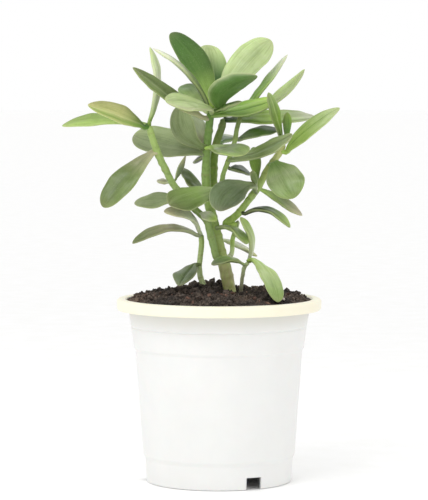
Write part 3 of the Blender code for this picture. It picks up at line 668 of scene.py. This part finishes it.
def makeStem(name, material):
    shape = stemShape
    middle, radius = stems[name]
    if middle[0, 2] > potHigh[2]:  # a branch: its root end runs on into the stem that it grew from
        others = np.vstack([points for other, (points, _) in stems.items() if other != name])
        gap = others[np.argmin(np.linalg.norm(others - middle[0], axis=1))] - middle[0]
        reach = min(1.0, shape["runOn"] * mm / np.linalg.norm(gap))
        middle = np.vstack([middle[0] + gap * reach, middle])
        radius = np.concatenate([[radius[0] * shape["rootSwell"]], radius])
    lengths = np.concatenate([[0], np.cumsum(np.linalg.norm(np.diff(middle, axis=0), axis=1))])
    count = int(lengths[-1] / (shape["step"] * mm)) + 2
    along = np.linspace(0, lengths[-1], count)
    line = smoothThrough(lengths, middle, along)
    thick = smoothThrough(lengths, radius, along)
    ahead = unit(np.gradient(line, axis=0))
    side = unit(np.cross(ahead, [0.0, 1.0, 0.0]))
    over = np.cross(ahead, side)
    random = np.random.default_rng(len(name) * 7 + 3)
    spots = np.arange(shape["scarFirst"], lengths[-1] / mm, shape["scarGap"])
    spots = spots + random.uniform(-2, 2, len(spots))
    scars, crease = np.zeros(count), np.zeros(count)
    for spot in spots:  # a leaf scar is a low ring, exp(-(distance / width)^2), with a fine crease in it
        scars += np.exp(-((along / mm - spot) / shape["scarWidth"]) ** 2)
        crease += np.exp(-((along / mm - spot - 0.2) / shape["creaseWidth"]) ** 2)
    tip = np.clip((lengths[-1] - along) / (shape["roundEnd"] * mm), 0, 1)
    columns = shape["sides"]
    angles = np.linspace(0, 2 * np.pi, columns, endpoint=False)
    raised = shape["scarRise"] * scars * np.minimum(1, thick / mm / 3) - shape["creaseDepth"] * crease
    swell = (thick / mm + raised) * np.sqrt(1 - (1 - tip) ** 2 * 0.96)
    ring = side[:, None] * np.cos(angles)[None, :, None] + over[:, None] * np.sin(angles)[None, :, None]
    points = line[:, None] + ring * (swell[:, None, None] * mm)
    flat = points.reshape(-1, 3)
    lengthwise = np.stack([np.tile(np.cos(angles), count) * 6, np.tile(np.sin(angles), count) * 6,
                           np.repeat(along / mm, columns) / 9], 1)
    bumps = shape["ridge"] * (softNoise(flat / mm, shape["ridgeSize"], len(name))
                              + softNoise(lengthwise, shape["ridgeSize"], 9))
    flat = flat + ring.reshape(-1, 3) * bumps[:, None] * mm
    flat = np.vstack([flat, line[:1], line[-1:] + ahead[-1:] * 0.4 * mm])
    faces = (gridFaces(count, columns) + poleFaces(0, columns, len(flat) - 2, False)
             + poleFaces(count - 1, columns, len(flat) - 1, True))
    *tints, corky = stemColours[name]
    share = np.append(np.repeat(along / lengths[-1], columns), [0, 1])
    rind = blended([plantTints[tint] for tint in tints], share)
    height = np.clip((flat[:, 2] - potHigh[2]) / mm, 0, None)
    cork = corky * np.exp(-((height - shape["corkHeight"]) / shape["corkSpread"]) ** 2)
    scar = np.append(np.repeat(np.clip(crease, 0, 1) * 0.55, columns), [0, 0])
    piece = makePiece(name.replace("stem_", "stemOf_"), flat, faces, material,
                      values={"scar": scar, "cork": cork}, colours={"rind": rind})
    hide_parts(name)


rind = stemMaterial()
for stemName in stemNames:
    makeStem(stemName, rind)
print("stems")


# ---- leaves: thick, waxy and water-filled, with rounded rims

leafShape = {  # millimetres, or shares of the half width
    "rows": 60, "columns": 44, "thickness": 3.1, "baseThickness": 2.3, "cup": 0.15, "groove": 0.20,
    "rimWave": 0.35, "swell": 0.16, "point": 0.30, "pointReach": 0.6, "runOn": 10.5, "runOnShare": 0.9,
    # rim and rimWidth set the painted highlight along the rims, partly the leaf's own paler margin
    "stalk": 0.8, "rim": 0.34, "rimWidth": 0.22, "blush": 0.12, "underGrey": 0.12,
}
leafColours = {  # near the stalk, middle and near the tip, partly painted shade and light, then the painted shade and light on its left and right halves
    "leaf_crown_front_left": ("lime", "leaf", "dark", "shaded", "even"),
    "leaf_crown_back": ("dark", "dark", "pale", "lit", "even"),
    "leaf_crown_right": ("deep", "pale", "pale", "even", "lit"),
    "leaf_crown_front": ("leaf", "dark", "dark", "lit", "even"),
    "leaf_crown_bud": ("dark", "leaf", "sage", "shaded", "even"),
    "leaf_crown_long": ("deep", "moss", "cream", "even", "lit"),
    "leaf_crown_pale": ("pale", "pale", "pale", "even", "even"),
    "leaf_crown_bump": ("pale", "spring", "leaf", "shaded", "lit"),
    "leaf_olive": ("buff", "moss", "moss", "even", "lit"),
    "leaf_left_upright": ("grass", "cream", "pale", "even", "lit"),
    "leaf_left_front": ("dark", "straw", "straw", "shaded", "lit"),
    "leaf_left_long": ("spring", "spring", "spring", "shaded", "lit"),
    "leaf_left_drooping": ("buff", "moss", "moss", "even", "lit"),
    "leaf_right_spike": ("fresh", "fresh", "cream", "even", "even"),
    "leaf_right_curved": ("fresh", "pale", "pale", "shaded", "lit"),
    "leaf_right_fold": ("fresh", "fresh", "lime", "shaded", "lit"),
    "leaf_right_pale": ("deep", "lime", "mist", "lit", "even"),
    "leaf_tip_upright": ("deep", "grass", "meadow", "lit", "shaded"),
    "leaf_tip_small": ("grass", "leaf", "grass", "lit", "shaded"),
    "leaf_tip_large": ("lime", "spring", "pale", "even", "even"),
    "leaf_centre_right": ("sage", "moss", "sage", "even", "lit"),
    "leaf_centre_front": ("lime", "moss", "meadow", "lit", "even"),
    "leaf_centre_rear": ("dark", "dark", "cream", "lit", "even"),
    "leaf_centre_dark": ("slate", "leaf", "deep", "even", "shaded"),
    "leaf_round": ("fresh", "sage", "meadow", "even", "even"),
    "leaf_narrow_behind": ("spring", "moss", "buff", "lit", "even"),
    "leaf_arching": ("dusk", "deep", "spring", "shaded", "lit"),
    "leaf_bowed": ("cream", "pale", "spring", "even", "shaded"),
    "leaf_drooping": ("lime", "pale", "meadow", "even", "even"),
    "leaf_across_trunk": ("pale", "grass", "slate", "lit", "shaded"),
    "leaf_low_right": ("sage", "spring", "meadow", "shaded", "lit"),
    "leaf_thin_behind": ("cream", "mist", "straw", "lit", "even"),
    "leaf_grey_oval": ("sage", "slate", "slate", "lit", "shaded"),
    "leaf_broad": ("pale", "meadow", "moss", "even", "shaded"),
    "leaf_left_low": ("sage", "sage", "sage", "even", "even"),
    "leaf_bud_left": ("sage", "buff", "buff", "even", "even"),
    "leaf_bud_spike": ("moss", "slate", "buff", "shaded", "lit"),
    "leaf_dark_wedge": ("moss", "moss", "moss", "lit", "shaded"),
    "leaf_pale_wedge": ("cream", "cream", "lime", "shaded", "lit"),
    "leaf_green_upright": ("grass", "grass", "fresh", "shaded", "lit"),
    "leaf_brown_upright": ("cream", "moss", "moss", "lit", "shaded"),
    "leaf_small_dark": ("deep", "deep", "deep", "even", "shaded"),
    "leaf_stub": ("dark", "dusk", "slate", "even", "even"),
    "leaf_large_grey": ("sage", "sage", "sage", "lit", "shaded"),
    "leaf_crease": ("moss", "sage", "sage", "even", "shaded"),
    "leaf_crease_rear": ("buff", "mist", "mist", "even", "even"),
    "leaf_left_arching": ("mist", "buff", "moss", "even", "shaded"),
    "leaf_heart": ("moss", "slate", "slate", "even", "shaded"),
    "leaf_under_broad": ("mist", "mist", "buff", "shaded", "lit"),
}
paintedHalfLight = {"shaded": 0.78, "even": 1.0, "lit": 1.26}  # painted shade and light: the brightness of a leaf's half beside its middle
pointedLeaves = {  # their tips draw out to a blunt point; the others are round
    "leaf_tip_large", "leaf_left_front", "leaf_left_long", "leaf_right_pale", "leaf_right_curved",
    "leaf_right_spike", "leaf_crown_long", "leaf_narrow_behind", "leaf_left_low", "leaf_crown_front",
    "leaf_olive", "leaf_tip_upright", "leaf_broad", "leaf_dark_wedge", "leaf_pale_wedge", "leaf_bud_spike",
    "leaf_left_upright",
}
leafLobes = {  # where an outline bulges: side, place from base to tip, length and amount as shares
    "leaf_heart": [(-1, 0.66, 0.20, 0.55)], "leaf_broad": [(1, 0.90, 0.14, 0.45), (-1, 0.90, 0.12, 0.30)],
    "leaf_round": [(1, 0.80, 0.16, 0.14)], "leaf_crown_right": [(-1, 0.88, 0.14, 0.10)],
    "leaf_centre_front": [(1, 0.75, 0.2, 0.15)], "leaf_large_grey": [(1, 0.3, 0.2, 0.2)],
    "leaf_crown_front": [(-1, 0.25, 0.15, 0.25)],
}
leafStripes = {  # painted shade in creases and painted highlights on ridges and edges, with some bands of the leaf's own colour: place across (-1 to 1), width, colour, strength, depth
    "leaf_crown_front": [(-1.0, 0.16, "#B4C296", 0.85, 0.0)],
    "leaf_left_front": [(0.72, 0.26, "#6B9138", 0.7, 0.0), (0.35, 0.06, "#C7D0A2", 0.6, -0.4)],
    "leaf_right_fold": [(-0.12, 0.13, "#4F7329", 0.7, 0.7), (0.25, 0.10, "#BCCB9A", 0.5, -0.3)],
    "leaf_tip_upright": [(0.08, 0.08, "#C3D58F", 0.7, -0.4)],
    "leaf_crease": [(0.22, 0.06, "#4E5A3A", 0.6, 0.6), (-0.95, 0.10, "#B5BF98", 0.6, 0.0)],
    "leaf_grey_oval": [(0.45, 0.06, "#55653F", 0.5, 0.6)],
    "leaf_centre_right": [(0.20, 0.10, "#55663B", 0.5, 0.6), (-0.30, 0.10, "#9AA98A", 0.5, -0.3)],
    "leaf_olive": [(0.30, 0.10, "#A9AE92", 0.4, -0.3), (-0.20, 0.08, "#5E6B3C", 0.5, 0.5)],
    "leaf_left_drooping": [(0.05, 0.05, "#6E7D55", 0.5, 0.3)],
    "leaf_large_grey": [(0.10, 0.05, "#66734F", 0.5, 0.4)],
    "leaf_broad": [(-0.25, 0.10, "#94A672", 0.5, -0.3), (0.10, 0.06, "#66784A", 0.5, 0.5)],
    "leaf_round": [(-0.05, 0.06, "#7E9A56", 0.5, 0.3)],
    "leaf_crown_pale": [(-0.15, 0.06, "#93A472", 0.5, 0.4), (0.85, 0.15, "#D2C9B4", 0.5, 0.0)],
    "leaf_right_pale": [(-0.85, 0.20, "#5F7A3C", 0.6, 0.0), (0.30, 0.12, "#C9CDB0", 0.4, 0.0)],
    "leaf_drooping": [(0.10, 0.06, "#8BA25C", 0.5, 0.3)],
    "leaf_heart": [(0.00, 0.08, "#555E46", 0.6, 0.9)],
    "leaf_tip_large": [(0.00, 0.05, "#7FA045", 0.5, 0.3)],
}


def leafMaterial():
    # water-filled leaf under a wax cuticle: soft gloss, light bleeding through thin rims, tiny pale pores, a
    # painted highlight along the rims and painted shade in the middle groove
    material, tree, shader = newMaterial("waxy succulent leaf", IOR=1.38, Subsurface_Weight=0.16,
                                         Subsurface_Scale=0.0022, Coat_Weight=0.10, Coat_Roughness=0.22)
    shader.inputs["Subsurface Radius"].default_value = (0.55, 1.0, 0.25)
    place = addNode(tree, "ShaderNodeTexCoord").outputs["Object"]
    skin = addNode(tree, "ShaderNodeAttribute", attribute_name="skin").outputs["Color"]
    rim = addNode(tree, "ShaderNodeAttribute", attribute_name="rim").outputs["Fac"]
    blush = addNode(tree, "ShaderNodeAttribute", attribute_name="blush").outputs["Fac"]
    broad = addNode(tree, "ShaderNodeTexNoise", {"Vector": place, "Scale": 95.0, "Detail": 3.0,
                                                 "Roughness": 0.55})
    tint = rampOf(tree, broad.outputs["Fac"], [(0.25, "#D6DCC8"), (0.5, "#FFFFFF"), (0.78, "#FFFFF4")])
    toned = addNode(tree, "ShaderNodeMix", {"Factor": 0.6, "A": skin, "B": tint}, data_type="RGBA",
                    blend_type="MULTIPLY")
    surface = addNode(tree, "ShaderNodeUVMap", uv_map="surface").outputs["UV"]
    drawnOut = addNode(tree, "ShaderNodeMapping", {"Vector": surface, "Scale": (2.2, 17.0, 1.0)})
    streaks = addNode(tree, "ShaderNodeTexNoise", {"Vector": drawnOut.outputs["Vector"], "Scale": 1.0,
                                                   "Detail": 5.0, "Roughness": 0.62, "Distortion": 0.5})
    shade = rampOf(tree, streaks.outputs["Fac"], [(0.28, "#B9C49C"), (0.5, "#F4F8EA"), (0.74, "#FFFFFF")])
    streaked = addNode(tree, "ShaderNodeMix", {"Factor": 0.75, "A": toned.outputs["Result"], "B": shade},
                       data_type="RGBA", blend_type="MULTIPLY")
    across = addNode(tree, "ShaderNodeSeparateXYZ", {"Vector": surface}).outputs["Y"]
    offMiddle = addNode(tree, "ShaderNodeMath", {0: across, 1: 0.5}, operation="SUBTRACT")
    fromMiddle = addNode(tree, "ShaderNodeMath", {0: offMiddle.outputs["Value"]}, operation="ABSOLUTE")
    # painted shade along the middle groove of the leaf
    paintedGrooveShade = addNode(tree, "ShaderNodeMapRange", {"Value": fromMiddle.outputs["Value"], "From Min": 0.0,
                                                "From Max": 0.035, "To Min": 0.22, "To Max": 0.0})
    grooveShaded = addNode(tree, "ShaderNodeMix", {"Factor": paintedGrooveShade.outputs["Result"], "B": linear("#5F7A3A"),
                                             "A": streaked.outputs["Result"]}, data_type="RGBA")
    pores = addNode(tree, "ShaderNodeTexVoronoi", {"Vector": place, "Scale": 900.0})
    dots = addNode(tree, "ShaderNodeMapRange", {"Value": pores.outputs["Distance"], "From Min": 0.12,
                                                "From Max": 0.28, "To Min": 0.10, "To Max": 0.0})
    dotted = addNode(tree, "ShaderNodeMix", {"Factor": dots.outputs["Result"], "B": linear("#DCE8BE")},
                     data_type="RGBA")
    tree.links.new(grooveShaded.outputs["Result"], dotted.inputs["A"])
    # painted highlight along the rims, partly the leaf's own paler margin
    rimHighlighted = addNode(tree, "ShaderNodeMix", {"Factor": rim, "B": linear("#C6D493")}, data_type="RGBA")
    tree.links.new(dotted.outputs["Result"], rimHighlighted.inputs["A"])
    warmed = addNode(tree, "ShaderNodeMix", {"Factor": blush, "B": linear("#B79A86")}, data_type="RGBA")
    tree.links.new(rimHighlighted.outputs["Result"], warmed.inputs["A"])
    tree.links.new(warmed.outputs["Result"], shader.inputs["Base Color"])
    gloss = addNode(tree, "ShaderNodeMapRange", {"Value": broad.outputs["Fac"], "From Min": 0.3,
                                                 "From Max": 0.7, "To Min": 0.30, "To Max": 0.44})
    tree.links.new(gloss.outputs["Result"], shader.inputs["Roughness"])
    fine = addNode(tree, "ShaderNodeTexNoise", {"Vector": place, "Scale": 600.0, "Detail": 3.0})
    bump = addNode(tree, "ShaderNodeBump", {"Height": fine.outputs["Fac"], "Strength": 0.10,
                                            "Distance": 0.0003})
    tree.links.new(bump.outputs["Normal"], shader.inputs["Normal"])
    return material


def makeLeaf(name, number, material):
    shape = leafShape
    middle, half, across, up = readLeaf(name)
    nearest = stemPoints[np.argmin(np.linalg.norm(stemPoints - middle[0], axis=1))]
    inward = nearest - middle[0]
    inward *= min(1.0, shape["runOn"] * mm / np.linalg.norm(inward))
    middle = np.vstack([middle[0] + shape["runOnShare"] * inward, middle])  # the base runs on into the stem
    half = np.concatenate([[half[0] * 1.15], half])
    across, up = np.vstack([across[:1], across]), np.vstack([up[:1], up])
    lengths = np.concatenate([[0], np.cumsum(np.linalg.norm(np.diff(middle, axis=0), axis=1))])
    knots = lengths / lengths[-1]
    rows, columns = shape["rows"], shape["columns"]
    places = np.sin(0.5 * np.pi * np.linspace(0, 1, rows + 1)[:-1]) ** 0.9
    line = smoothThrough(knots, middle, places)
    width = np.sqrt(np.clip(smoothThrough(knots, half ** 2, places), 1e-9, None)) / mm
    width = np.maximum(width, shape["stalk"] * (1 - places) ** 0.5)
    if name in pointedLeaves:
        width *= 1 - shape["point"] * places ** 5
        line = line + unit(middle[-1] - middle[-2]) * (shape["pointReach"] * mm * places ** 8)[:, None]
    sideways = unit(smoothThrough(knots, across, places))
    ahead = unit(np.gradient(line, axis=0))
    face = unit(np.cross(ahead, sideways))
    sideways = np.cross(face, ahead)
    greatest = width.max()
    angles = np.linspace(0, 2 * np.pi, columns, endpoint=False)
    s = np.cos(angles)[None]  # from one rim to the other
    upper = np.sin(angles)[None] > 0
    p, w = places[:, None], width[:, None]
    # thickness: base + (full - base) * sqrt(sin(pi p)), thinning to a round rim as sqrt(1 - |s|^2.6)
    plump = shape["baseThickness"] + (shape["thickness"] - shape["baseThickness"]) * np.sin(np.pi * p) ** 0.5
    body = np.minimum(0.5 * plump, 0.9 * w + 0.02) * np.sqrt(np.clip(1 - p ** 10, 0, 1))
    thick = body * np.clip(1 - np.abs(s) ** 2.6, 0, 1) ** 0.5
    wave = shape["rimWave"] * np.sin(2 * np.pi * (2.3 * p + 0.37 * number)) * s ** 3 * w / greatest
    bowl = shape["cup"] * w * (s ** 2 - 0.5) + wave
    groove = shape["groove"] * np.exp(-(s * w / 0.9) ** 2) * upper * np.clip(1.15 - p, 0, 1)
    broadness = np.minimum(1, w / 4)  # fades the groove and the creases out where the leaf is narrow
    lift = bowl + np.where(upper, thick, -thick) - groove * broadness
    reach = w * s * (1 + 0.025 * np.sin(5 * p + number))
    for side, place, spread, amount in leafLobes.get(name, []):
        reach = reach * (1 + amount * np.exp(-((p - place) / spread) ** 2) * np.clip(side * s, 0, 1))
    stripes = leafStripes.get(name, [])
    for place, spread, _, _, depth in stripes:
        lift = lift - depth * np.exp(-((s - place) / spread) ** 2) * broadness * upper
    points = line[:, None] + (sideways[:, None] * reach[..., None] + face[:, None] * lift[..., None]) * mm
    flat = points.reshape(-1, 3)
    swelling = shape["swell"] * softNoise(flat / mm, 11, number) * np.repeat(np.minimum(1, width / 5), columns)
    flat = flat + np.repeat(face, columns, 0) * (swelling * mm)[:, None]
    tip = line[-1] + ahead[-1] * 0.1 * mm
    flat = np.vstack([flat, line[:1], tip[None]])
    faces = (gridFaces(rows, columns) + poleFaces(0, columns, len(flat) - 2, False)
             + poleFaces(rows - 1, columns, len(flat) - 1, True))
    v = np.append(np.broadcast_to(s, (rows, columns)).ravel(), [0, 0])
    u = np.append(np.repeat(places, columns), [0, 1])
    isTop = np.append(np.broadcast_to(upper, (rows, columns)).ravel(), [True, True])
    greyed = np.array(linear("#9AA384"))
    *tints, left, right = leafColours[name]
    # painted shade and light: the tints run from stalk to tip with shade painted in, and each half is darkened
    # or lightened by its tone
    paintedHalves = np.interp(v, [-0.75, -0.1, 0.1, 0.75], [paintedHalfLight[left], 1, 1, paintedHalfLight[right]])
    skin = blended([plantTints[tint] for tint in tints], np.clip(1.25 * u - 0.125, 0, 1)) * paintedHalves[:, None]
    # painted crease shade and painted highlights on ridges and edges, partly the leaf's own colour bands
    for place, spread, stripeColour, strength, _ in stripes:
        mark = (strength * np.exp(-((v - place) / spread) ** 2) * np.clip(u / 0.15, 0, 1))[:, None]
        skin = skin * (1 - mark) + np.array(linear(stripeColour)) * mark
    grey = shape["underGrey"]
    skin = np.where(isTop[:, None], skin, (1 - grey) * skin + grey * greyed)
    widthAt = np.append(np.repeat(width, columns), [width[0], 0.1])
    fromRim = (1 - np.abs(v)) * widthAt
    # mask of the painted rim highlight, partly the leaf's own paler margin
    rim = np.exp(-(fromRim / shape["rimWidth"]) ** 2) * shape["rim"] * np.clip(u / 0.2, 0, 1)
    blush = np.clip((u - 0.8) / 0.2, 0, 1) ** 2 + 0.5 * np.exp(-(fromRim / 0.8) ** 2)
    blush = shape["blush"] * blush * np.clip(u / 0.3, 0, 1)
    piece = makePiece(name.replace("leaf_", "leafOf_"), flat, faces, material,
                      uv=np.stack([u, 0.5 + 0.5 * v], 1), values={"rim": rim, "blush": blush},
                      colours={"skin": skin})
    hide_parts(name)


cuticle = leafMaterial()
for leafNumber, leafName in enumerate(leafNames):
    makeLeaf(leafName, leafNumber, cuticle)
print("leaves")
